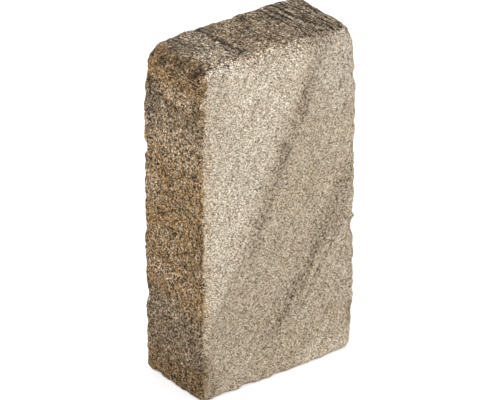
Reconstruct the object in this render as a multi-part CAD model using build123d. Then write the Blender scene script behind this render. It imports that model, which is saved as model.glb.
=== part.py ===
from build123d import *

import os
from itertools import cycle, pairwise, product
from math import cos, radians, sin, sqrt

# Tumbled concrete wall block, standing on one end.
#
# It is one solid. It was pressed in a mould as a plain prism and then tumbled, so its arrises are worn to
# uneven rounds with small knocks all along them, its corners are knocked to blunt domes and shallow chips
# are broken out of its arrises.
#
# Frame: millimetres, +Z up, origin at the middle of the end that it stands on.
# X runs from the wall's face (left) into the wall, Y between the two bed faces, Z along the block.

# Overall size
LENGTH = 375.0
DEPTH = 200.0
COURSE_HEIGHT = 100.0

# A worn arris is a round that meets each of its two faces at a slight crease
CREASE_ANGLE = 12.0

# Radius of the round at each corner, where three arrises meet
CORNER_WEAR = {
    ("left", "front", "bottom"): 8.0,
    ("right", "front", "bottom"): 12.0,
    ("left", "back", "bottom"): 9.0,
    ("right", "back", "bottom"): 10.0,
    ("left", "front", "top"): 15.0,
    ("right", "front", "top"): 19.0,
    ("left", "back", "top"): 19.0,
    ("right", "back", "top"): 10.0,
}

# Radius of the round along each arris, away from its corners
ARRIS_WEAR = {
    ("left", "front"): 4.3,
    ("right", "front"): 3.8,
    ("left", "back"): 4.2,
    ("right", "back"): 5.7,
    ("front", "bottom"): 7.0,
    ("back", "bottom"): 6.0,
    ("front", "top"): 20.0,
    ("back", "top"): 8.0,
    ("left", "bottom"): 6.5,
    ("right", "bottom"): 6.5,
    ("left", "top"): 10.0,
    ("right", "top"): 11.5,
}

# Stretch at each end of an arris over which its round passes from the corner's radius to its own
STRETCH_LEAST = 25.0
STRETCH_SHARE = 0.1

# Dome that takes the point off a corner: its radius for each millimetre of the corner's wear, and the
# depth of its centre below the three faces for each millimetre of its radius
DOME_RADIUS_RATIO = 2.3
DOME_INSET_RATIO = 0.753

# Chips broken out of the arrises: share of the way along the arris from its lower, left or front end,
# then length and depth below the unworn arris
CHIPS = {
    ("left", "back"): [(0.69, 20.0, 6.0), (0.25, 44.0, 5.0)],
    ("right", "front"): [(0.385, 24.0, 6.5), (0.85, 30.0, 4.5)],
    ("right", "back"): [(0.55, 42.0, 5.5)],
    ("left", "front"): [(0.14, 26.0, 3.5)],
    ("front", "bottom"): [(0.3, 32.0, 5.5)],
    ("back", "bottom"): [(0.7, 40.0, 5.5)],
    ("left", "bottom"): [(0.8, 18.0, 6.0)],
}

# Small knocks all along the worn arrises: usual distance apart, and room left at the corners and beside the
# chips, then lengths, depths below the worn arris, shifts along it and turns from the first face to the
# second, which are dealt out in turn
KNOCK_SPACING = 38.0
KNOCK_CLEARANCE = 22.0
KNOCK_LENGTHS = (17.0, 26.0, 20.0, 31.0, 15.0)
KNOCK_DEPTHS = (1.2, 1.9, 1.0, 1.6)
KNOCK_SHIFTS = (0.0, 8.0, -6.0, 4.0, -9.0, 6.0, -3.0)
KNOCK_TURNS = (45.0, 33.0, 56.0, 40.0, 50.0, 36.0)

# How far the cutting bodies reach past the block
OVERCUT = 15.0

# Outward direction of each face, and how far the face lies along it from the middle of the block
OUTWARD = {
    "left": Vector(-1, 0, 0),
    "right": Vector(1, 0, 0),
    "front": Vector(0, -1, 0),
    "back": Vector(0, 1, 0),
    "bottom": Vector(0, 0, -1),
    "top": Vector(0, 0, 1),
}
REACH = {
    "left": DEPTH / 2,
    "right": DEPTH / 2,
    "front": COURSE_HEIGHT / 2,
    "back": COURSE_HEIGHT / 2,
    "bottom": LENGTH / 2,
    "top": LENGTH / 2,
}
MIDDLE = Vector(0, 0, LENGTH / 2)
SIDES = (("left", "right"), ("front", "back"), ("bottom", "top"))


def corner_point(corner):
    """The unworn corner where the three named faces meet."""
    return MIDDLE + sum((OUTWARD[face] * REACH[face] for face in corner), Vector(0, 0, 0))


def arris_ends(arris):
    """The two corners of an arris, from its lower, left or front end to the other."""
    (free,) = [pair for pair in SIDES if not set(pair) & set(arris)]
    corners = [[face for pair in SIDES for face in pair if face in (*arris, end)] for end in free]
    return tuple(corners[0]), tuple(corners[1])


def arris_length(arris):
    """Length of an arris between its two unworn corners."""
    start, end = arris_ends(arris)
    return (corner_point(end) - corner_point(start)).length


def arris_plane(arris, distance):
    """Plane across an arris at a distance along it, with its two axes pointing out of the two faces."""
    start, end = (corner_point(corner) for corner in arris_ends(arris))
    first, second = (OUTWARD[face] for face in arris)
    origin = start + (end - start).normalized() * distance
    return Plane(origin=origin, x_dir=first, z_dir=first.cross(second))


def wear_section(radius):
    """What a round of this radius takes off a square arris whose two faces lie on the axes."""
    rim = radius * (1 - cos(radians(CREASE_ANGLE)))
    centre = rim - radius
    worn_line = CenterArc((centre, centre), radius, 0, 90)
    outside = Polyline(
        (centre, rim), (centre, OVERCUT), (OVERCUT, OVERCUT), (OVERCUT, centre), (rim, centre)
    )
    return make_face(worn_line.edges() + outside.edges())


def arris_stations(arris):
    """Distances along an arris from corner to corner, with the radius of the round at each."""
    start, end = arris_ends(arris)
    length = arris_length(arris)
    stretch = STRETCH_LEAST + STRETCH_SHARE * length
    radius = ARRIS_WEAR[arris]
    return [(0.0, CORNER_WEAR[start]), (stretch, radius), (length - stretch, radius), (length, CORNER_WEAR[end])]


def arris_cutter(arris):
    """Body that wears one arris to a round whose radius changes along it."""
    stations = arris_stations(arris)
    stations.insert(0, (-OVERCUT, stations[0][1]))
    stations.append((arris_length(arris) + OVERCUT, stations[-1][1]))
    sections = [arris_plane(arris, distance) * wear_section(radius) for distance, radius in stations]
    return loft(sections, ruled=True)


def worn_depth(arris, distance):
    """How far the crown of the worn arris lies below the unworn one at a distance along it."""
    for (near, near_radius), (far, far_radius) in pairwise(arris_stations(arris)):
        if distance <= far:
            break
    radius = near_radius + (far_radius - near_radius) * (distance - near) / (far - near)
    rim = radius * (1 - cos(radians(CREASE_ANGLE)))
    return sqrt(2) * (radius - rim) - radius


def corner_cutter(corner):
    """Body that blunts one corner to a dome."""
    radius = DOME_RADIUS_RATIO * CORNER_WEAR[corner]
    inset = DOME_INSET_RATIO * radius
    outward = sum((OUTWARD[face] for face in corner), Vector(0, 0, 0))
    centre = corner_point(corner) - outward * inset
    across = Vector(outward.X, -outward.Y, 0)
    side = inset + OVERCUT
    cube = Pos(centre + outward * (side / 2)) * Box(side, side, side)
    return cube - Plane(origin=centre, x_dir=-outward, z_dir=across) * Sphere(radius)


def ball_cutter(plane, turn, crown, length, depth):
    """Ball that hollows an arris, whose crown lies this far below the plane's origin, over a length."""
    radius = (length**2 / 4 + depth**2) / (2 * depth)
    diagonal = (plane.x_dir + plane.y_dir).normalized()
    outward = plane.x_dir * cos(radians(turn)) + plane.y_dir * sin(radians(turn))
    centre = plane.origin - diagonal * crown + outward * (radius - depth)
    return Plane(origin=centre, x_dir=outward, z_dir=plane.z_dir) * Sphere(radius)


def chip_cutters(arris):
    """Balls that break the larger chips out of an arris."""
    for share, length, depth in CHIPS.get(arris, []):
        yield ball_cutter(arris_plane(arris, share * arris_length(arris)), 45.0, 0.0, length, depth)


def knock_distances(arris, shifts):
    """Distances along an arris of its small knocks, clear of its corners and of its chips."""
    length = arris_length(arris)
    count = round(length / KNOCK_SPACING)
    for index in range(count):
        distance = (index + 0.5) * length / count + next(shifts)
        taken = [share * length for share, *_ in CHIPS.get(arris, [])] + [0.0, length]
        if min(abs(distance - place) for place in taken) > KNOCK_CLEARANCE:
            yield distance


def knock_cutters():
    """Balls that knock small hollows all along the worn arrises."""
    lengths, depths, shifts, turns = map(cycle, (KNOCK_LENGTHS, KNOCK_DEPTHS, KNOCK_SHIFTS, KNOCK_TURNS))
    for arris in ARRIS_WEAR:
        for distance in knock_distances(arris, shifts):
            crown = worn_depth(arris, distance)
            yield ball_cutter(arris_plane(arris, distance), next(turns), crown, next(lengths), next(depths))


def wall_block():
    """The block: a plain prism with its arrises, corners, chips and knocks taken off."""
    block = Pos(MIDDLE) * Box(DEPTH, COURSE_HEIGHT, LENGTH)
    for arris in ARRIS_WEAR:
        block -= arris_cutter(arris)
    for corner in product(*SIDES):
        block -= corner_cutter(corner)
    chips = [chip for arris in ARRIS_WEAR for chip in chip_cutters(arris)]
    block -= chips
    block -= list(knock_cutters())
    return block.solid()


os.makedirs("parts", exist_ok=True)
export_step(wall_block(), "parts/wall_block.step")
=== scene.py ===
from math import cos, pi, radians, sin

import bpy
from mathutils import Matrix, Vector


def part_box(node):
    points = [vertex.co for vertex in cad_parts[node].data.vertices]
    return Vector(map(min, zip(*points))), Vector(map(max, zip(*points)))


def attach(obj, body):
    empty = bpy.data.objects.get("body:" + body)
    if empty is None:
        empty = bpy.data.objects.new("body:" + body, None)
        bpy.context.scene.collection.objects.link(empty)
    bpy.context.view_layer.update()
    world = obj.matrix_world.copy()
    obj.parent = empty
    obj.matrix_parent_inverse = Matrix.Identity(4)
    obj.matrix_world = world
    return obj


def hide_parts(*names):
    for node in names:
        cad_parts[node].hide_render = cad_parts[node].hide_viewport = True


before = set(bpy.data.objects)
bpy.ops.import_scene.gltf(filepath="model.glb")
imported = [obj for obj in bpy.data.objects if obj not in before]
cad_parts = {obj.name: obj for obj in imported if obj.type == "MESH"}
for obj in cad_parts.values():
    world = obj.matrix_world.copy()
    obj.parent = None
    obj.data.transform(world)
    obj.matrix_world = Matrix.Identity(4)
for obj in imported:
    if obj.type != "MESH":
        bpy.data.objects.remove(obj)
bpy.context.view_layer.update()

bl_info = {
    "name": "Tumbled wall block",
    "version": (1, 0, 0),
    "blender": (4, 5, 0),
    "location": "View3D > Sidebar > Wall block",
    "description": "Models the finish of a tumbled concrete wall block around its solid",
    "category": "Object",
}

NODE = "wall_block"
LOW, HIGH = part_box(NODE)
MIDDLE = (LOW + HIGH) / 2
MILLIMETRE = 0.001

# Least distance that the dressed block keeps inside its solid's box
INSET = Vector((0.05, 0.05, 0.05)) * MILLIMETRE

# Corners of the solid's mesh that lie closer than this are one point
MERGE_DISTANCE = 0.01 * MILLIMETRE

# Width of the picture in pixels, and of the camera's sensor in millimetres
IMAGE_WIDTH = 500
SENSOR_WIDTH = 36.0

WHITE = (1.0, 1.0, 1.0, 1.0)

# Mean of coloured noise, the levels between which nearly all noise lies, and the detail of the noise that
# draws strands and edges
NOISE_MEAN = (0.5, 0.5, 0.5)
NOISE_SPAN = (0.3, 0.7)
EDGE_DETAIL = 3.0

# Distance between neighbours in the node editor
NODE_SPACING = 180


def paint(red, green, blue):
    """A colour given as it looks on a screen, from 0 to 255, in the linear values that shaders use."""
    shares = (channel / 255 for channel in (red, green, blue))
    return tuple(s / 12.92 if s <= 0.04045 else ((s + 0.055) / 1.055) ** 2.4 for s in shares)


def length_setting(name, description, millimetres):
    """A length that a user may change, with its default in millimetres."""
    default = millimetres * MILLIMETRE
    return bpy.props.FloatProperty(
        name=name, description=description, default=default, min=0.0, precision=4, unit="LENGTH"
    )


def angle_setting(name, description, degrees):
    """An angle that a user may change, with its default in degrees."""
    default = radians(degrees)
    return bpy.props.FloatProperty(name=name, description=description, default=default, subtype="ANGLE")


def share_setting(name, description, share):
    """A share that a user may change."""
    return bpy.props.FloatProperty(
        name=name, description=description, default=share, min=0.0, soft_max=2.0, subtype="FACTOR"
    )


def colour_setting(name, description, screen_colour):
    """A colour that a user may change, with its default as it looks on a screen."""
    default = paint(*screen_colour)
    return bpy.props.FloatVectorProperty(
        name=name, description=description, default=default, size=3, min=0.0, max=1.0, subtype="COLOR"
    )


class WallBlockRelief(bpy.types.PropertyGroup):
    """Sizes of the relief that tumbling leaves on the block."""

    mesh_step: length_setting("Mesh step", "Spacing of the points of the block's mesh", 1.72)
    wave_length: length_setting("Wave length", "Length of the slow unevenness of the faces", 60.0)
    wave_depth: length_setting("Wave depth", "Depth of the slow unevenness of the faces", 0.5)
    lump_length: length_setting("Lump length", "Length of the lumps on the faces", 17.0)
    lump_depth: length_setting("Lump depth", "Depth of the hollows between the lumps", 1.0)
    crumb_length: length_setting("Crumb length", "Length of the crumbly unevenness of the faces", 6.5)
    crumb_depth: length_setting("Crumb depth", "Depth of the crumbly unevenness of the faces", 0.9)
    grit_size: length_setting("Grit size", "Size of the coarse grit that stands out of the faces", 4.0)
    grit_depth: length_setting("Grit depth", "Depth of the gaps between the coarse grit", 0.45)
    arris_length: length_setting("Arris crumb length", "Length of the crumbling along the arrises", 8.0)
    arris_depth: length_setting("Arris crumb depth", "Depth of the crumbling along the arrises", 1.7)
    arris_lift: length_setting("Arris lift", "Lift of the arrises that makes up for their crumbling", 0.7)
    bed_share: share_setting("Bed face share", "How much of the crumbs and grit the bed faces show", 0.4)
    standing_share: share_setting("Standing share", "How much of the relief the standing end shows", 0.3)


class WallBlockColours(bpy.types.PropertyGroup):
    """Colours of the concrete, which is a blend of differently tinted mixes, and of its painted highlight.
    """

    cream: colour_setting("Cream", "Pale mix of the bed faces", (204, 190, 168))
    tan: colour_setting("Tan", "Warm mix of the bed faces", (180, 164, 141))
    ash: colour_setting("Ash", "Grey mix of the bed faces", (194, 182, 164))
    umber: colour_setting("Umber", "Grey-brown streaks through the block", (136, 120, 99))
    ochre: colour_setting("Ochre", "Warm mix of the wall's face", (180, 149, 105))
    brown: colour_setting("Brown", "Dark mix of the wall's face", (148, 120, 84))
    slate: colour_setting("Slate", "Grey mix of the wall's face", (155, 136, 111))
    peach: colour_setting("Peach", "Pale mix of the wall's face", (208, 185, 153))
    # Charcoal is a dark mix of the concrete, and also the painted shade in the pores
    charcoal_and_pore_shade: colour_setting("Charcoal", "Dark patches, strands, grit and pores", (50, 39, 27))
    # Painted highlight: a pale patch that lights the round of the upper front arris
    painted_highlight: colour_setting("Chalk", "Palest mix, along the upper front arris", (236, 228, 214))
    sand_contrast: share_setting("Sand contrast", "How much lighter and darker single grains are", 1.0)


class WallBlockStage(bpy.types.PropertyGroup):
    """Camera, lamps and floor."""

    focal_pixels: bpy.props.FloatProperty(
        name="Focal length", description="Focal length in pixels of the picture", default=4600.0
    )
    azimuth: angle_setting("Azimuth", "Turn of the camera about the block", -37.96)
    elevation: angle_setting("Elevation", "Height of the camera as an angle", 27.01)
    roll: angle_setting("Roll", "Turn of the camera about its own line of sight", 0.13)
    distance: length_setting("Distance", "From the camera to the point that it aims at", 4752.5)
    aim_drop: length_setting("Aim drop", "How far below the middle of the block the camera aims", 1.6)
    key_light: share_setting("Key lamp", "Light from the front right", 0.5)
    top_light: share_setting("Top lamp", "Light from the upper left", 0.3)
    back_light: share_setting("Back lamp", "Light from behind", 0.3)
    side_light: share_setting("Side light", "Soft light from all round", 0.6)
    upper_light: share_setting("Upper light", "Soft light from straight above", 0.34)
    floor_colour: colour_setting("Floor", "Colour of the floor", (244, 244, 244))
    floor_glow: share_setting("Floor glow", "White that the floor adds to what the camera sees of it", 0.5)


class Bench:
    """Adds nodes to one tree, each fed with plain values or with other nodes' outputs."""

    def __init__(self, tree):
        self.tree = tree

    def add(self, kind, inputs=None, **options):
        """Add a node, set its options and feed its inputs."""
        node = self.tree.nodes.new(kind)
        node.location.x = NODE_SPACING * len(self.tree.nodes)
        for option, value in options.items():
            setattr(node, option, value)
        for socket, value in (inputs or {}).items():
            if isinstance(value, bpy.types.NodeSocket):
                self.tree.links.new(value, node.inputs[socket])
            else:
                node.inputs[socket].default_value = value
        return node

    def calc(self, operation, *values):
        """A sum on plain values and outputs."""
        return self.add("ShaderNodeMath", dict(enumerate(values)), operation=operation).outputs[0]

    def chain(self, operation, first, *values):
        """A sum on one value after another."""
        for value in values:
            first = self.calc(operation, first, value)
        return first

    def vector(self, operation, *values):
        """A sum on vectors."""
        return self.add("ShaderNodeVectorMath", dict(enumerate(values)), operation=operation).outputs[0]

    def scale(self, vector, factor):
        """A vector made longer or shorter."""
        return self.add("ShaderNodeVectorMath", {0: vector, "Scale": factor}, operation="SCALE").outputs[0]

    def parts(self, vector):
        """The three parts of a vector."""
        return self.add("ShaderNodeSeparateXYZ", {0: vector}).outputs[:3]

    def ease(self, value, start, end):
        """Rises smoothly from 0 to 1 as a value goes from start to end."""
        inputs = {"Value": value, "From Min": start, "From Max": end}
        return self.add("ShaderNodeMapRange", inputs, interpolation_type="SMOOTHSTEP").outputs[0]

    def slide(self, value, start, end, low=0.0, high=1.0):
        """Goes evenly from low to high as a value goes from start to end, and no further."""
        inputs = {"Value": value, "From Min": start, "From Max": end, "To Min": low, "To Max": high}
        return self.add("ShaderNodeMapRange", inputs).outputs[0]

    def mix(self, factor, first, second, blend="MIX"):
        """The first colour, turned into the second by a factor."""
        inputs = {0: factor, 6: first, 7: second}
        return self.add("ShaderNodeMix", inputs, data_type="RGBA", blend_type=blend).outputs[2]

    def noise(self, position, size, detail=2.0, output="Fac"):
        """Noise with lumps of a size, at a position in the same unit."""
        share = self.calc("DIVIDE", 1.0, size)
        inputs = {"Vector": self.scale(position, share), "Scale": 1.0, "Detail": detail}
        return self.add("ShaderNodeTexNoise", inputs).outputs[output]

    def shift(self, position, size, distance, detail=2.0):
        """How far noise of a size pushes a position, up to about a distance each way."""
        wander = self.noise(position, size, detail, "Color")
        return self.scale(self.vector("SUBTRACT", wander, NOISE_MEAN), distance * 2.0)

    def group(self, tree, **inputs):
        """Place a shader node group, with inputs named in lower case."""
        named = {name.replace("_", " ").capitalize(): value for name, value in inputs.items()}
        return self.add("ShaderNodeGroup", named, node_tree=tree).outputs


def solid(colour):
    """A colour setting as a node's four values."""
    return (*colour, 1.0)


def new_group(name, kind, inputs, outputs):
    """An empty node group with named sockets: its bench, its given values and its results."""
    tree = bpy.data.node_groups.new(name, kind)
    for socket, socket_type in inputs.items():
        tree.interface.new_socket(socket, in_out="INPUT", socket_type=socket_type)
    for socket, socket_type in outputs.items():
        tree.interface.new_socket(socket, in_out="OUTPUT", socket_type=socket_type)
    bench = Bench(tree)
    return bench, bench.add("NodeGroupInput").outputs, bench.add("NodeGroupOutput").inputs


VALUE = "NodeSocketFloat"
VECTOR = "NodeSocketVector"
GEOMETRY = "NodeSocketGeometry"

# Distance of a grain's rim from its middle, as a share of its size, and shares of their reach at which a
# patch and a speck start and are full
GRAIN_RIM = 0.75
PATCH_EDGE = (1.25, 0.55)
SPECK_EDGE = (1.0, 0.5)


def grain_group():
    """Grains of a size: a shade and a tint for each grain, and its height, which falls towards its rim."""
    bench, given, result = new_group(
        "Grains",
        "ShaderNodeTree",
        {"Position": VECTOR, "Size": VALUE},
        {"Shade": VALUE, "Tint": VALUE, "Height": VALUE},
    )
    link = bench.tree.links.new
    wander = bench.noise(given["Position"], given["Size"], 1.0, "Color")
    push = bench.scale(bench.vector("SUBTRACT", wander, NOISE_MEAN), given["Size"])
    place = bench.vector("ADD", given["Position"], push)
    cells = {"Vector": place, "Scale": bench.calc("DIVIDE", 1.0, given["Size"])}
    cells = bench.add("ShaderNodeTexVoronoi", cells).outputs
    draws = bench.add("ShaderNodeSeparateColor", {"Color": cells["Color"]}).outputs
    link(draws[0], result["Shade"])
    link(draws[1], result["Tint"])
    link(bench.slide(cells["Distance"], 0.0, GRAIN_RIM, 1.0, 0.0), result["Height"])
    return bench.tree


def streak_group():
    """A streak of another mix: a band about a plane, with frayed edges."""
    bench, given, result = new_group(
        "Mix streak",
        "ShaderNodeTree",
        {"Across": VALUE, "Fray": VALUE, "Centre": VALUE, "Half width": VALUE, "Softness": VALUE},
        {"Mask": VALUE},
    )
    off = bench.calc("ABSOLUTE", bench.calc("SUBTRACT", given["Across"], given["Centre"]))
    edge = bench.calc("SUBTRACT", bench.calc("ADD", off, given["Fray"]), given["Half width"])
    mask = bench.ease(bench.calc("DIVIDE", edge, given["Softness"]), 0.5, -0.5)
    bench.tree.links.new(mask, result["Mask"])
    return bench.tree


def patch_group():
    """A patch of another mix: a soft ball, pulled to a length on each axis."""
    bench, given, result = new_group(
        "Mix patch",
        "ShaderNodeTree",
        {"Position": VECTOR, "Centre": VECTOR, "Reach": VECTOR},
        {"Mask": VALUE},
    )
    off = bench.vector("SUBTRACT", given["Position"], given["Centre"])
    off = bench.vector("DIVIDE", off, given["Reach"])
    length = bench.add("ShaderNodeVectorMath", {0: off}, operation="LENGTH").outputs["Value"]
    bench.tree.links.new(bench.ease(length, *PATCH_EDGE), result["Mask"])
    return bench.tree


def speck_group():
    """Scattered specks: a few of the cells of a scatter, each as a round spot."""
    bench, given, result = new_group(
        "Specks",
        "ShaderNodeTree",
        {"Position": VECTOR, "Spacing": VALUE, "Share": VALUE, "Radius": VALUE},
        {"Mask": VALUE},
    )
    inputs = {"Vector": given["Position"], "Scale": bench.calc("DIVIDE", 1.0, given["Spacing"])}
    cells = bench.add("ShaderNodeTexVoronoi", inputs).outputs
    draws = bench.add("ShaderNodeSeparateColor", {"Color": cells["Color"]}).outputs
    chosen = bench.calc("LESS_THAN", draws[0], given["Share"])
    radius = bench.calc("MULTIPLY", given["Radius"], bench.calc("ADD", 0.5, draws[1]))
    spot = bench.ease(bench.calc("DIVIDE", cells["Distance"], radius), *SPECK_EDGE)
    bench.tree.links.new(bench.calc("MULTIPLY", chosen, spot), result["Mask"])
    return bench.tree


# Share of a normal along its nearest axis at which a face ends and an arris is fully round, share across
# the beds at which a bed face starts and is full, and share upwards at which the standing end is full and
# ends
ARRIS_FACING = (0.97, 0.8)
BED_FACING = (0.7, 0.95)
STANDING_FACING = (-0.9, -0.6)

# Levels of the noise at which the hollows of each kind start and are deepest
HOLLOW_LEVELS = {
    "wave": (0.35, 0.75),
    "lump": (0.48, 0.78),
    "crumb": (0.45, 0.75),
    "arris": (0.48, 0.74),
}

# Distances from the middle of a piece of grit, as shares of its size, at which its gap starts and is
# deepest, and how smoothly one piece runs into the next
GRIT_LEVELS = (0.3, 0.8)
GRIT_SMOOTHNESS = 0.4


def relief_tree(relief):
    """Geometry nodes that press hollows into the block, and note each point's facing and its hollow."""
    sockets = {"Block": GEOMETRY}
    bench, given, result = new_group("Tumbled relief", "GeometryNodeTree", sockets, sockets)
    position = bench.add("GeometryNodeInputPosition").outputs[0]
    normal = bench.add("GeometryNodeInputNormal").outputs[0]
    facing = bench.parts(bench.vector("ABSOLUTE", normal))
    arris = bench.ease(bench.chain("MAXIMUM", *facing), *ARRIS_FACING)
    rough = bench.slide(bench.ease(facing[1], *BED_FACING), 0.0, 1.0, 1.0, relief.bed_share)
    standing = bench.slide(bench.parts(normal)[2], *STANDING_FACING, relief.standing_share, 1.0)

    def hollows(kind, detail=2.0):
        """Hollows of a kind, of the length and depth that its settings give."""
        length, depth = (getattr(relief, f"{kind}_{size}") for size in ("length", "depth"))
        share = bench.slide(bench.noise(position, length, detail), *HOLLOW_LEVELS[kind])
        return bench.calc("MULTIPLY", share, depth)

    grit = {"Vector": position, "Scale": 1 / relief.grit_size, "Smoothness": GRIT_SMOOTHNESS}
    grit = bench.add("ShaderNodeTexVoronoi", grit, feature="SMOOTH_F1").outputs["Distance"]
    gaps = bench.calc("MULTIPLY", bench.slide(grit, *GRIT_LEVELS), relief.grit_depth)
    fine = bench.calc("MULTIPLY", bench.calc("ADD", hollows("crumb"), gaps), rough)
    broken = bench.calc("MULTIPLY", hollows("arris"), arris)
    depth = bench.chain("ADD", fine, hollows("lump"), hollows("wave", 1.0), broken)
    depth = bench.calc("MULTIPLY", depth, standing)
    depth = bench.calc("MULTIPLY_ADD", arris, -relief.arris_lift, depth)

    # How hollow each point is, for the painted shade that the concrete puts in its hollows
    share = bench.calc("DIVIDE", fine, relief.crumb_depth + relief.grit_depth)
    block = given["Block"]
    for name, data_type, value in (("hollow", "FLOAT", share), ("facing", "FLOAT_VECTOR", normal)):
        inputs = {"Geometry": block, "Name": name, "Value": value}
        block = bench.add("GeometryNodeStoreNamedAttribute", inputs, data_type=data_type).outputs[0]
    place = bench.vector("SUBTRACT", position, bench.scale(normal, depth))
    place = bench.vector("MAXIMUM", place, tuple(LOW + INSET))
    place = bench.vector("MINIMUM", place, tuple(HIGH - INSET))
    pressed = bench.add("GeometryNodeSetPosition", {"Geometry": block, "Position": place}).outputs[0]
    bench.tree.links.new(pressed, result["Block"])
    return bench.tree


COLOUR_NAMES = ("cream", "tan", "ash", "umber", "ochre", "brown", "slate", "peach", "charcoal_and_pore_shade", "painted_highlight")

# Streaks of other mixes in the bed faces: lean from upright in degrees, then in millimetres the place
# across the lean, half width, softness of the edges and the two heights between which it shows, then
# colour and strength
STREAKS = [
    (24, -28, 6, 14, 200, 390, "cream", 0.5),
    (24, -5, 8, 12, 150, 390, "umber", 0.5),
    (30, -38, 3, 9, 232, 276, "umber", 0.7),
    (32, 52, 12, 28, 45, 230, "umber", 0.6),
    (33, 51, 6, 18, 55, 165, "umber", 0.85),
    (31, 75, 3, 9, 70, 160, "umber", 0.7),
]

# How far a streak's edges fray, and the height over which it fades at either end, in millimetres each way
STREAK_FRAY = 4.5
STREAK_FADE = 20.0

# Crumbs that break a streak up: their size in millimetres, and the levels of their noise between which
# the streak goes from one share of its strength to another
CRUMB_SIZE = 3.0
CRUMB_LEVELS = (0.38, 0.62)
CRUMB_STRENGTHS = (0.0, 1.8)

# Share of a streak's strength that tints the mix, and what a dark streak adds to the share of dark grit
# and to its strength
STREAK_TINT = 0.8
STREAK_GRIT = 0.17
STREAK_DARK = 0.5

# Patches of other mixes and of painted highlight, by the part that shows them: place from the block's
# lower left front corner and reach, both in millimetres, then colour and strength
PATCHES = {
    "bed": [
        ((182, 0, 340), (42, 60, 56), "ash", 0.6),
        ((16, 0, 325), (32, 60, 52), "tan", 0.35),
        ((4, 0, 16), (16, 40, 40), "umber", 0.75),
        ((40, 0, 168), (32, 60, 26), "cream", 0.5),
        ((50, 0, 84), (44, 60, 40), "umber", 0.12),
        # Painted highlight: this patch and the peach one after it light the round of the upper front arris
        ((40, 10, 377), (46, 20, 12), "painted_highlight", 0.5),
        ((66, 16, 378), (80, 18, 11), "peach", 0.3),
        ((0, 0, 190), (15, 60, 230), "ochre", 0.2),
        ((160, 0, 8), (36, 60, 18), "cream", 0.8),
        ((197, 0, 44), (9, 60, 18), "umber", 0.7),
    ],
    "end": [
        ((96, 55, 375), (40, 80, 60), "ochre", 0.3),
        ((44, 40, 375), (24, 60, 60), "cream", 0.8),
        ((26, 74, 375), (10, 24, 30), "charcoal_and_pore_shade", 0.45),
        ((20, 94, 375), (12, 10, 20), "charcoal_and_pore_shade", 0.35),
        ((152, 30, 375), (26, 60, 60), "umber", 0.3),
        ((76, 94, 375), (9, 14, 20), "charcoal_and_pore_shade", 0.4),
        ((148, 98, 375), (40, 12, 20), "cream", 0.6),
    ],
    "face": [
        ((0, 88, 312), (24, 15, 32), "slate", 0.6),
        ((0, 86, 318), (24, 9, 22), "charcoal_and_pore_shade", 0.3),
        ((0, 12, 330), (24, 10, 9), "charcoal_and_pore_shade", 0.5),
        ((0, 42, 335), (24, 34, 12), "peach", 0.65),
        ((0, 26, 286), (24, 28, 13), "peach", 0.5),
        ((0, 46, 305), (24, 14, 10), "peach", 0.4),
        ((0, 86, 226), (24, 14, 34), "peach", 0.55),
        ((0, 40, 212), (24, 12, 8), "slate", 0.6),
        ((0, 4, 172), (24, 12, 48), "brown", 0.9),
        ((0, 58, 127), (24, 38, 10), "peach", 0.6),
        ((0, 80, 178), (24, 18, 26), "ochre", 0.6),
        ((0, 66, 165), (24, 28, 12), "peach", 0.4),
        ((0, 14, 146), (24, 20, 10), "brown", 0.7),
        ((0, 12, 46), (24, 20, 13), "charcoal_and_pore_shade", 0.45),
        ((0, 18, 4), (24, 40, 16), "charcoal_and_pore_shade", 0.7),
        ((0, 46, 267), (24, 24, 10), "peach", 0.4),
        ((0, 62, 352), (24, 18, 9), "ochre", 0.6),
        ((0, 20, 60), (24, 34, 26), "slate", 0.6),
        ((0, 16, 16), (24, 50, 24), "brown", 0.8),
        ((6, 15, 371), (9, 6, 6), "charcoal_and_pore_shade", 0.85),
        ((15, 9, 371), (8, 4, 5), "charcoal_and_pore_shade", 0.7),
        ((2, 66, 367), (9, 6, 6), "charcoal_and_pore_shade", 0.75),
        ((9, 42, 373), (10, 15, 10), "charcoal_and_pore_shade", 0.4),
        ((8, 94, 370), (12, 10, 14), "charcoal_and_pore_shade", 0.4),
        ((21, 69, 375), (13, 9, 9), "charcoal_and_pore_shade", 0.6),
    ],
}

# Zones of the wall's face: share of the way up and colour
ZONES = [
    (0.07, "brown"), (0.13, "slate"), (0.24, "slate"), (0.31, "ochre"), (0.41, "ochre"), (0.66, "ochre"),
    (0.76, "peach"), (0.84, "slate"), (0.90, "ochre"), (0.97, "brown"),
]

# Noise that shifts the places at which mixes show: its size, and how far it shifts them, in millimetres
RAGGED = (7.0, 3.5)
WARPED = (34.0, 9.0)
FRAYED = (6.0, 1.2)

# Strands of other mixes: their length on each axis in millimetres, before they are leaned or slanted
BED_STRANDS = (5.0, 30.0, 70.0)
BROAD_STRANDS = (7.0, 60.0, 60.0)
NARROW_STRANDS = (2.8, 32.0, 32.0)
MOTTLE = (14.0, 26.0, 9.0)
LAYERS = (20.0, 40.0, 5.0)
CLUMPS = (6.0, 9.0, 4.0)
BED_LEAN = radians(28.0)
END_SLANT = radians(-5.0)

# What the strands show: levels of their noise at which a mix starts and is full, its colour and its
# strength
BED_STRAND_MIXES = [(0.45, 0.33, "cream", 0.3), (0.52, 0.68, "umber", 0.35)]
BROAD_STRAND_MIXES = [(0.5, 0.62, "umber", 0.6), (0.46, 0.3, "cream", 0.5)]
NARROW_STRAND_MIXES = [(0.47, 0.38, "cream", 0.45)]
MOTTLE_MIXES = [(0.52, 0.66, "brown", 0.6), (0.46, 0.34, "slate", 0.5)]
LAYER_MIXES = [(0.54, 0.7, "charcoal_and_pore_shade", 0.4), (0.42, 0.3, "peach", 0.5)]
CLUMP_MIXES = [(0.56, 0.7, "charcoal_and_pore_shade", 0.5), (0.42, 0.3, "peach", 0.35)]

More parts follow.
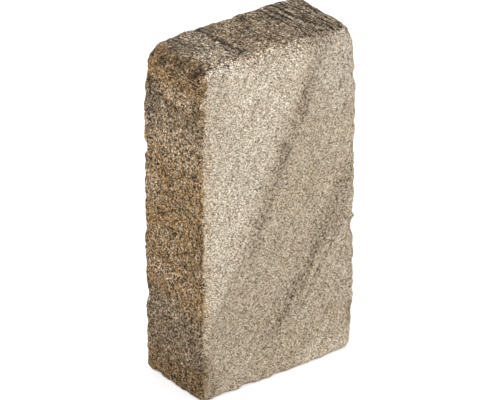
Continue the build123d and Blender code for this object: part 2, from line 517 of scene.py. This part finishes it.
# The bed faces' pale side: lean of its edge, and the places across the lean where it starts and is full
PALE_LEAN = radians(24.5)
PALE_EDGE = (-14.0, -38.0)

# The ends grow darker inwards between two depths, up to a strength, and their dark narrow strands
# stronger
END_DARKENING = (90.0, 165.0)
END_DARKNESS = 0.7
DARK_STRAND_LEVELS = (0.5, 0.6)
DARK_STRAND_DEPTHS = (80.0, 150.0)
DARK_STRAND_STRENGTHS = (0.45, 0.95)

# Dark vein across the ends: depth, half width and softness, its drift for each millimetre that it runs,
# size of the noise that frays its edges and how far it does, where it starts behind the front bed face,
# and its strength
VEIN = dict(centre=69.0, half_width=2.8, softness=3.0)
VEIN_DRIFT = 0.05
VEIN_FRAY = (9.0, -2.5, 1.8)
VEIN_START = (10.0, 24.0)
VEIN_STRENGTH = 0.95

# The wall's face: how far its zones rise for each millimetre towards the back, and the heights that they
# span
ZONE_RISE = 0.15
ZONE_HEIGHTS = (-15.0, 375.0)

# Share of a normal at which a kind of face starts and is full: across the beds for the rough faces, along
# the block for the ends, and inwards for the rear face
ROUGH_FACING = (0.9, 0.4)
END_FACING = (0.75, 0.95)
REAR_FACING = (0.8, 0.95)

# Size of the noise along which the edges of an end's mix and of the wall face's mix wander
EDGE_SIZE = 8.0

# Where an end's mix starts and is full behind the front bed face, how far it comes towards the front
# between two depths, and how far its edge wanders
END_START = (4.0, 30.0)
END_REACH = 14.0
END_REACH_DEPTHS = (110.0, 145.0)
END_WANDER = 4.0

# How deep the wall face's mix shows round its arrises: along the block and at the upper end, with the
# heights between which that changes, what it gains on the end itself, and how far its edge wanders off
# and on the end, both with the shares of a normal upwards between which that changes
SKIN = (2.5, 11.0)
SKIN_HEIGHTS = (345.0, 372.0)
SKIN_ON_END = 8.0
SKIN_ON_END_FACING = (0.5, 0.95)
SKIN_WANDER = (2.6, 9.0)
SKIN_WANDER_FACING = (0.3, 0.9)
SKIN_SOFTNESS = 1.5

# Sizes of the grains and spacing of the pores in millimetres, the radius of a pore as a share of that
# spacing, the strength of the painted shade in it, and height of grit and depth of a pore beside the
# height of the sand
SAND_SIZE = 0.9
COARSE_SIZE = 1.3
GRIT_SIZE = 1.8
PORE_SPACING = 5.0
PORE_RADIUS = 0.26
PORE_SHADE = 0.7
GRIT_HEIGHT = 1.2
PORE_DEPTH = 0.8

# Grain on the pressed bed faces and on the rough faces, in that order: contrast of the sand, of the
# coarse sand and of the rims of the sand, shade of a plain grain, how much painted shade darkens the
# hollows, contrast of the tints and warmth of all grains
SAND = (1.65, 2.15)
COARSE = (0.15, 1.65)
RIMS = (0.1, 0.5)
PLAIN = (0.945, 0.935)
PAINTED_HOLLOW_SHADE = (0.12, 0.2)
TINTS = (0.16, 0.06)
WARMTH = (0.01, 0.12)

# Grit, pores and bump on the same two kinds of face: draws at which grit starts to be dark and is fully
# dark, strength of dark, pale and ochre grit, share of pores, and height of the bump
DARK_GRIT_LEAST = (0.14, 0.24)
DARK_GRIT_MOST = (0.09, 0.18)
DARK_GRIT = (0.2, 0.9)
PALE_GRIT = (0.0, 0.45)
OCHRE_GRIT = (0.18, 0.06)
PORES = (0.05, 0.14)
BUMP = (0.7, 1.3)

# Draws at which grit on any face starts to be pale or ochre and is fully so
PALE_DRAWS = (0.86, 0.93)
OCHRE_DRAWS = (0.8, 0.88)

# A grain's shade is a power of its even draw, so that a few are much darker than most, but none is darker
# than the darkest
SHADE_POWER = 0.3
DARKEST = 0.12

# Height of a grain of sand that leaves its shade as it is, and powers of the shade in red, green and blue
PLAIN_HEIGHT = 0.27
CHANNEL_POWERS = (1.82, 2.2, 2.68)

ALONG = (1.0, 0.0, 0.0)
ACROSS = (0.0, 1.0, 0.0)
UPRIGHT = (0.0, 0.0, 1.0)


class Concrete(Bench):
    """The block's concrete: streaked bed faces, an ochre wall's face, veined ends, sand, grit and pores."""

    def __init__(self, tree, colours):
        super().__init__(tree)
        self.colours = {name: solid(getattr(colours, name)) for name in COLOUR_NAMES}
        self.contrast = colours.sand_contrast
        from_corner = self.vector("SUBTRACT", self.add("ShaderNodeTexCoord").outputs["Object"], tuple(LOW))
        self.place = self.scale(from_corner, 1 / MILLIMETRE)
        self.height = self.parts(self.place)[2]
        self.ragged = self.vector("ADD", self.place, self.shift(self.place, *RAGGED))
        self.warped = self.vector("ADD", self.ragged, self.shift(self.place, *WARPED))
        self.frayed = self.vector("ADD", self.place, self.shift(self.place, *FRAYED))
        self.hollow = self.add("ShaderNodeAttribute", attribute_name="hollow").outputs["Fac"]
        facing = self.add("ShaderNodeAttribute", attribute_name="facing").outputs["Vector"]
        self.inward, _, self.up = self.parts(facing)
        self.bedding, self.ending = self.parts(self.vector("ABSOLUTE", facing))[1:]
        self.rough = self.ease(self.bedding, *ROUGH_FACING)
        self.streak = streak_group()
        self.patch = patch_group()

    def tint(self, colour, mask, name, strength=1.0):
        """A colour turned into a named mix where a mask says so."""
        return self.mix(self.calc("MULTIPLY", mask, strength), colour, self.colours[name])

    def by_face(self, pair):
        """A value that differs between the pressed bed faces and the rough ones."""
        return self.slide(self.rough, 0.0, 1.0, *pair)

    def wander(self, size, low, high):
        """Noise of a size that goes from low to high."""
        return self.slide(self.noise(self.place, size, EDGE_DETAIL), *NOISE_SPAN, low, high)

    def patched(self, colour, part):
        """A colour with the patches of a part on it."""
        for centre, reach, name, strength in PATCHES[part]:
            mask = self.group(self.patch, position=self.ragged, centre=centre, reach=reach)[0]
            colour = self.tint(colour, mask, name, strength)
        return colour

    def strands(self, place, size, axis=ALONG, turn=0.0):
        """Noise drawn out into strands, with a length on each axis, turned about an axis."""
        turned = {"Vector": place, "Axis": axis, "Angle": turn}
        turned = self.add("ShaderNodeVectorRotate", turned).outputs[0]
        squeezed = {"Vector": self.vector("DIVIDE", turned, size), "Scale": 1.0, "Detail": EDGE_DETAIL}
        return self.add("ShaderNodeTexNoise", squeezed).outputs["Fac"]

    def stranded(self, colour, strands, mixes):
        """A colour with the mixes that strands show."""
        for start, full, name, strength in mixes:
            colour = self.tint(colour, self.ease(strands, start, full), name, strength)
        return colour

    def across(self, lean):
        """Distance across a lean in the bed faces."""
        inputs = {0: self.warped, 1: (cos(lean), 0.0, -sin(lean))}
        return self.add("ShaderNodeVectorMath", inputs, operation="DOT_PRODUCT").outputs["Value"]

    def streaks(self, colour, strands):
        """A colour with crumbly streaks that fray along the strands, and how much of a dark one shows."""
        fray = self.slide(strands, *NOISE_SPAN, STREAK_FRAY, -STREAK_FRAY)
        crumbs = self.slide(self.noise(self.place, CRUMB_SIZE), *CRUMB_LEVELS, *CRUMB_STRENGTHS)
        streaked = 0.0
        for lean, centre, half_width, softness, low, high, name, strength in STREAKS:
            band = dict(centre=centre, half_width=half_width, softness=softness)
            band = self.group(self.streak, across=self.across(radians(lean)), fray=fray, **band)[0]
            above = self.ease(self.height, low - STREAK_FADE, low + STREAK_FADE)
            below = self.ease(self.height, high + STREAK_FADE, high - STREAK_FADE)
            mask = self.chain("MULTIPLY", band, above, below, crumbs)
            colour = self.tint(colour, mask, name, strength * STREAK_TINT)
            if name == "umber":
                streaked = self.calc("MAXIMUM", streaked, self.calc("MULTIPLY", mask, strength))
        return colour, streaked

    def bed(self):
        """Bed faces: pale and warm mixes, leaning strands and streaks, and how much of a dark one shows."""
        strands = self.strands(self.frayed, BED_STRANDS, ACROSS, -BED_LEAN)
        pale = self.ease(self.across(PALE_LEAN), *PALE_EDGE)
        colour = self.patched(self.tint(self.colours["tan"], pale, "cream"), "bed")
        colour, streaked = self.streaks(colour, strands)
        return self.stranded(colour, strands, BED_STRAND_MIXES), streaked

    def vein(self, inwards, through):
        """Mask of the vein that crosses an end from bed to bed."""
        across = self.calc("MULTIPLY_ADD", through, VEIN_DRIFT, inwards)
        band = self.group(self.streak, across=across, fray=self.wander(*VEIN_FRAY), **VEIN)[0]
        return self.calc("MULTIPLY", band, self.ease(through, *VEIN_START))

    def end(self):
        """Ends: pale at the wall's face and darker inwards, with strands and a vein."""
        inwards, through = self.parts(self.ragged)[:2]
        broad = self.strands(self.frayed, BROAD_STRANDS, UPRIGHT, END_SLANT)
        narrow = self.strands(self.frayed, NARROW_STRANDS, UPRIGHT, END_SLANT)
        darker = self.ease(self.parts(self.warped)[0], *END_DARKENING)
        colour = self.patched(self.tint(self.colours["tan"], darker, "umber", END_DARKNESS), "end")
        colour = self.stranded(colour, broad, BROAD_STRAND_MIXES)
        colour = self.stranded(colour, narrow, NARROW_STRAND_MIXES)
        strength = self.slide(inwards, *DARK_STRAND_DEPTHS, *DARK_STRAND_STRENGTHS)
        dark = self.calc("MULTIPLY", self.ease(narrow, *DARK_STRAND_LEVELS), strength)
        colour = self.tint(colour, dark, "charcoal_and_pore_shade")
        return self.tint(colour, self.vein(inwards, through), "charcoal_and_pore_shade", VEIN_STRENGTH)

    def zones(self):
        """Zones of the wall's face, which rise towards the back."""
        through, height = self.parts(self.warped)[1:]
        level = self.slide(self.calc("MULTIPLY_ADD", through, -ZONE_RISE, height), *ZONE_HEIGHTS)
        node = self.add("ShaderNodeValToRGB", {0: level})
        stops = node.color_ramp.elements
        while len(stops) < len(ZONES):
            stops.new(0.5)
        for stop, (position, name) in zip(stops, ZONES):
            stop.position = position
            stop.color = self.colours[name]
        return node.outputs[0]

    def wall_face(self):
        """Wall's face: zones of ochre, grey and pale mixes, mottled with brown and dark patches."""
        colour = self.stranded(self.zones(), self.strands(self.ragged, MOTTLE), MOTTLE_MIXES)
        colour = self.stranded(colour, self.strands(self.frayed, LAYERS), LAYER_MIXES)
        colour = self.patched(colour, "face")
        return self.stranded(colour, self.strands(self.ragged, CLUMPS), CLUMP_MIXES)

    def on_end(self, inwards, through, wander):
        """Mask of what shows an end's mix: what faces up or down, clear of the front bed face."""
        onto_front = self.slide(inwards, *END_REACH_DEPTHS, 0.0, END_REACH)
        through = self.calc("ADD", self.calc("MULTIPLY_ADD", wander, END_WANDER, through), onto_front)
        ends = self.ease(self.ending, *END_FACING)
        return self.calc("MULTIPLY", ends, self.ease(through, *END_START))

    def on_wall_face(self, inwards, wander):
        """Mask of what shows the wall face's mix: that face with the skin round it, and the rear face."""
        gain = self.slide(self.up, *SKIN_ON_END_FACING, 0.0, SKIN_ON_END)
        skin = self.calc("ADD", self.slide(self.height, *SKIN_HEIGHTS, *SKIN), gain)
        reach = self.slide(self.up, *SKIN_WANDER_FACING, *SKIN_WANDER)
        inwards = self.calc("MULTIPLY_ADD", wander, reach, inwards)
        fronting = self.ease(self.calc("SUBTRACT", inwards, skin), SKIN_SOFTNESS, -SKIN_SOFTNESS)
        return self.calc("MAXIMUM", fronting, self.ease(self.inward, *REAR_FACING))

    def mixes(self):
        """Colour of the mixes before sand and pores, and how much of a dark streak shows."""
        inwards, through = self.parts(self.ragged)[:2]
        wander = self.wander(EDGE_SIZE, -1.0, 1.0)
        colour, streaked = self.bed()
        colour = self.mix(self.on_end(inwards, through, wander), colour, self.end())
        return self.mix(self.on_wall_face(inwards, wander), colour, self.wall_face()), streaked

    def gritty(self, colour, streaked, grit):
        """A colour with single dark, pale and ochre grains of grit, most of all on the rough faces."""
        streaked = self.calc("MULTIPLY", streaked, self.by_face((1.0, 0.0)))
        more = self.calc("MULTIPLY", streaked, STREAK_GRIT)
        least = self.calc("ADD", self.by_face(DARK_GRIT_LEAST), more)
        most = self.calc("ADD", self.by_face(DARK_GRIT_MOST), more)
        strength = self.calc("MULTIPLY_ADD", streaked, STREAK_DARK, self.by_face(DARK_GRIT))
        dark = self.calc("MULTIPLY", self.ease(grit["Shade"], least, most), strength)
        pale = self.calc("MULTIPLY", self.ease(grit["Shade"], *PALE_DRAWS), self.by_face(PALE_GRIT))
        warm = self.calc("MULTIPLY", self.ease(grit["Tint"], *OCHRE_DRAWS), self.by_face(OCHRE_GRIT))
        for mask, name in ((warm, "ochre"), (dark, "charcoal_and_pore_shade"), (pale, "cream")):
            colour = self.tint(colour, mask, name)
        return colour

    def spread(self, draw, contrast):
        """How much lighter or darker a grain is than the mean of all, from its even draw."""
        mean = 1 / (1 + SHADE_POWER)
        spread = self.calc("SUBTRACT", self.calc("POWER", draw, SHADE_POWER), mean)
        return self.calc("MULTIPLY", spread, self.by_face(contrast))

    def sanded(self, colour, sand, coarse):
        """A colour with sand grains, lighter or darker, warmer or cooler, and painted shade in hollows."""
        rims = self.calc("SUBTRACT", sand["Height"], PLAIN_HEIGHT)
        rims = self.calc("MULTIPLY", rims, self.by_face(RIMS))
        fine, rough = self.spread(sand["Shade"], SAND), self.spread(coarse["Shade"], COARSE)
        spread = self.chain("ADD", fine, rough, rims)
        shade = self.calc("MULTIPLY_ADD", spread, self.contrast, self.by_face(PLAIN))
        # Painted shade: darker where the relief is hollow
        shade = self.calc("SUBTRACT", shade, self.calc("MULTIPLY", self.hollow, self.by_face(PAINTED_HOLLOW_SHADE)))
        shade = self.calc("MAXIMUM", shade, DARKEST)
        warm = self.calc("MULTIPLY", self.calc("SUBTRACT", sand["Tint"], 0.5), self.by_face(TINTS))
        warm = self.calc("ADD", warm, self.by_face(WARMTH))
        red, green, blue = (self.calc("POWER", shade, power) for power in CHANNEL_POWERS)
        channels = {
            0: self.calc("MULTIPLY", red, self.calc("ADD", 1.0, warm)),
            1: green,
            2: self.calc("MULTIPLY", blue, self.calc("SUBTRACT", 1.0, warm)),
        }
        grains = self.add("ShaderNodeCombineColor", channels).outputs[0]
        return self.mix(1.0, colour, grains, "MULTIPLY")

    def finish(self):
        """Colour and height of the concrete's surface."""
        grains = grain_group()
        sand = self.group(grains, position=self.place, size=SAND_SIZE)
        coarse = self.group(grains, position=self.place, size=COARSE_SIZE)
        grit = self.group(grains, position=self.ragged, size=GRIT_SIZE)
        pores = dict(spacing=PORE_SPACING, share=self.by_face(PORES), radius=PORE_RADIUS)
        pores = self.group(speck_group(), position=self.place, **pores)[0]
        colour, streaked = self.mixes()
        colour = self.sanded(self.gritty(colour, streaked, grit), sand, coarse)
        # Painted shade in the pores: charcoal where the pits are, on top of their depth in the bump
        colour = self.tint(colour, pores, "charcoal_and_pore_shade", PORE_SHADE)
        height = self.calc("MULTIPLY_ADD", grit["Height"], GRIT_HEIGHT, sand["Height"])
        height = self.calc("MULTIPLY_ADD", pores, -PORE_DEPTH, height)
        return colour, self.calc("MULTIPLY", height, self.by_face(BUMP))


def concrete(colours):
    """Material of the block."""
    material = bpy.data.materials.new("tumbled_concrete")
    material.use_nodes = True
    material.node_tree.nodes.clear()
    bench = Concrete(material.node_tree, colours)
    colour, height = bench.finish()
    bump = bench.add("ShaderNodeBump", {"Height": height, "Distance": 0.5 * MILLIMETRE}).outputs[0]
    finish = {"Base Color": colour, "Normal": bump, "Roughness": 0.92, "Specular IOR Level": 0.25}
    shader = bench.add("ShaderNodeBsdfPrincipled", finish).outputs[0]
    bench.add("ShaderNodeOutputMaterial", {"Surface": shader})
    return material


def activate(piece):
    """Select one object alone and make it the active one."""
    bpy.ops.object.select_all(action="DESELECT")
    piece.select_set(True)
    bpy.context.view_layer.objects.active = piece


class WALLBLOCK_OT_tumbled_block(bpy.types.Operator):
    """Model the block's tumbled faces from its solid and give it its concrete"""

    bl_idname = "wallblock.tumbled_block"
    bl_label = "Tumbled block"

    def execute(self, context):
        relief = context.scene.wall_block_relief
        block = bpy.data.objects.new("tumbled_block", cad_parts[NODE].data.copy())
        context.collection.objects.link(block)
        activate(block)
        bpy.ops.object.mode_set(mode="EDIT")
        bpy.ops.mesh.select_all(action="SELECT")
        bpy.ops.mesh.remove_doubles(threshold=MERGE_DISTANCE)
        bpy.ops.object.mode_set(mode="OBJECT")

        remesh = block.modifiers.new("Even mesh", "REMESH")
        remesh.mode = "VOXEL"
        remesh.voxel_size = relief.mesh_step
        bpy.ops.object.modifier_apply(modifier=remesh.name)
        wear = block.modifiers.new("Tumbled relief", "NODES")
        wear.node_group = relief_tree(relief)
        bpy.ops.object.modifier_apply(modifier=wear.name)
        bpy.ops.object.shade_smooth()

        block.data.materials.clear()
        block.data.materials.append(concrete(context.scene.wall_block_colours))
        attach(block, "root")
        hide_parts(NODE)
        return {"FINISHED"}


def shows_white(bench):
    """1 for rays from the camera and those seen in gloss or glass, 0 for rays that light the block."""
    rays = bench.add("ShaderNodeLightPath").outputs
    seen = bench.calc("MAXIMUM", rays["Is Camera Ray"], rays["Is Glossy Ray"])
    return bench.calc("MAXIMUM", seen, rays["Is Transmission Ray"])


def floor_finish(stage):
    """Pale matt floor that shows white where it is lit and keeps the block's shadow."""
    material = bpy.data.materials.new("pale_floor")
    material.use_nodes = True
    bench = Bench(material.node_tree)
    bench.tree.nodes.clear()
    matt = {"Base Color": solid(stage.floor_colour), "Roughness": 0.9, "Specular IOR Level": 0.0}
    matt = bench.add("ShaderNodeBsdfPrincipled", matt).outputs[0]
    white = {"Strength": bench.calc("MULTIPLY", shows_white(bench), stage.floor_glow)}
    white = bench.add("ShaderNodeEmission", white).outputs[0]
    both = bench.add("ShaderNodeAddShader", {0: matt, 1: white}).outputs[0]
    bench.add("ShaderNodeOutputMaterial", {"Surface": both})
    return material


def studio_world(stage):
    """Soft light from all round, weaker from above, with a white background."""
    world = bpy.data.worlds.new("studio")
    world.use_nodes = True
    bench = Bench(world.node_tree)
    bench.tree.nodes.clear()
    height = bench.parts(bench.add("ShaderNodeTexCoord").outputs["Generated"])[2]
    strength = bench.slide(height, 0.0, 1.0, stage.side_light, stage.upper_light)
    light = bench.add("ShaderNodeBackground", {"Color": WHITE, "Strength": strength}).outputs[0]
    white = bench.add("ShaderNodeBackground", {"Color": WHITE, "Strength": 1.0}).outputs[0]
    both = bench.add("ShaderNodeMixShader", {0: shows_white(bench), 1: light, 2: white}).outputs[0]
    bench.add("ShaderNodeOutputWorld", {"Surface": both})
    return world


# Lamps: direction from the middle of the block, width in metres, and the setting that holds the share of
# light that each gives. Distance of the lamps and radius of the floor in metres
LAMPS = {
    "key_lamp": ((0.42, -0.9, 0.2), 1.2, "key_light"),
    "top_lamp": ((-0.55, -0.3, 0.78), 0.8, "top_light"),
    "back_lamp": ((0.45, 0.85, 0.3), 1.6, "back_light"),
}
LAMP_DISTANCE = 2.6
FLOOR_RADIUS = 8.0


def add_lamp(name, direction, size, share):
    """A square soft lamp that lights a surface facing it with a share of the plain level."""
    outward = Vector(direction).normalized()
    bpy.ops.object.light_add(type="AREA", location=MIDDLE + outward * LAMP_DISTANCE)
    lamp = bpy.context.object
    lamp.name = name
    lamp.rotation_euler = outward.to_track_quat("Z", "Y").to_euler()
    lamp.data.shape = "SQUARE"
    lamp.data.size = size
    plain_level = (pi * LAMP_DISTANCE) ** 2
    lamp.data.energy = share * plain_level


def add_camera(scene, stage):
    """Camera at the photograph's angle and distance."""
    outward = Vector((
        sin(stage.azimuth) * cos(stage.elevation),
        -cos(stage.azimuth) * cos(stage.elevation),
        sin(stage.elevation),
    ))
    aim = MIDDLE - Vector((0.0, 0.0, stage.aim_drop))
    bpy.ops.object.camera_add(location=aim + outward * stage.distance)
    camera = bpy.context.object
    camera.name = "camera"
    turn = outward.to_track_quat("Z", "Y").to_matrix() @ Matrix.Rotation(stage.roll, 3, "Z")
    camera.rotation_euler = turn.to_euler()
    camera.data.sensor_width = SENSOR_WIDTH
    camera.data.lens = stage.focal_pixels / IMAGE_WIDTH * SENSOR_WIDTH
    scene.camera = camera


class WALLBLOCK_OT_stage(bpy.types.Operator):
    """Lay the floor, hang the lamps and set up the camera"""

    bl_idname = "wallblock.stage"
    bl_label = "Stage"

    def execute(self, context):
        stage = context.scene.wall_block_stage
        bpy.ops.object.select_all(action="DESELECT")
        bpy.ops.mesh.primitive_circle_add(vertices=96, radius=FLOOR_RADIUS, fill_type="NGON")
        floor = context.object
        floor.name = "floor"
        floor.data.materials.append(floor_finish(stage))
        for name, (direction, size, setting) in LAMPS.items():
            add_lamp(name, direction, size, getattr(stage, setting))
        context.scene.world = studio_world(stage)
        add_camera(context.scene, stage)
        context.scene.view_settings.view_transform = "Standard"
        return {"FINISHED"}


class WALLBLOCK_PT_panel(bpy.types.Panel):
    """The block's settings and the operators that make it"""

    bl_label = "Wall block"
    bl_idname = "WALLBLOCK_PT_panel"
    bl_space_type = "VIEW_3D"
    bl_region_type = "UI"
    bl_category = "Wall block"

    def draw(self, context):
        for settings in SETTINGS:
            group = getattr(context.scene, settings)
            box = self.layout.box()
            for name in group.__annotations__:
                box.prop(group, name)
        self.layout.operator(WALLBLOCK_OT_tumbled_block.bl_idname)
        self.layout.operator(WALLBLOCK_OT_stage.bl_idname)


SETTINGS = {
    "wall_block_relief": WallBlockRelief,
    "wall_block_colours": WallBlockColours,
    "wall_block_stage": WallBlockStage,
}
CLASSES = (*SETTINGS.values(), WALLBLOCK_OT_tumbled_block, WALLBLOCK_OT_stage, WALLBLOCK_PT_panel)


def register():
    for each in CLASSES:
        bpy.utils.register_class(each)
    for name, group in SETTINGS.items():
        setattr(bpy.types.Scene, name, bpy.props.PointerProperty(type=group))


def unregister():
    for name in SETTINGS:
        delattr(bpy.types.Scene, name)
    for each in reversed(CLASSES):
        bpy.utils.unregister_class(each)


def main():
    register()
    bpy.ops.wallblock.tumbled_block()
    bpy.ops.wallblock.stage()


if __name__ == "__main__":
    main()
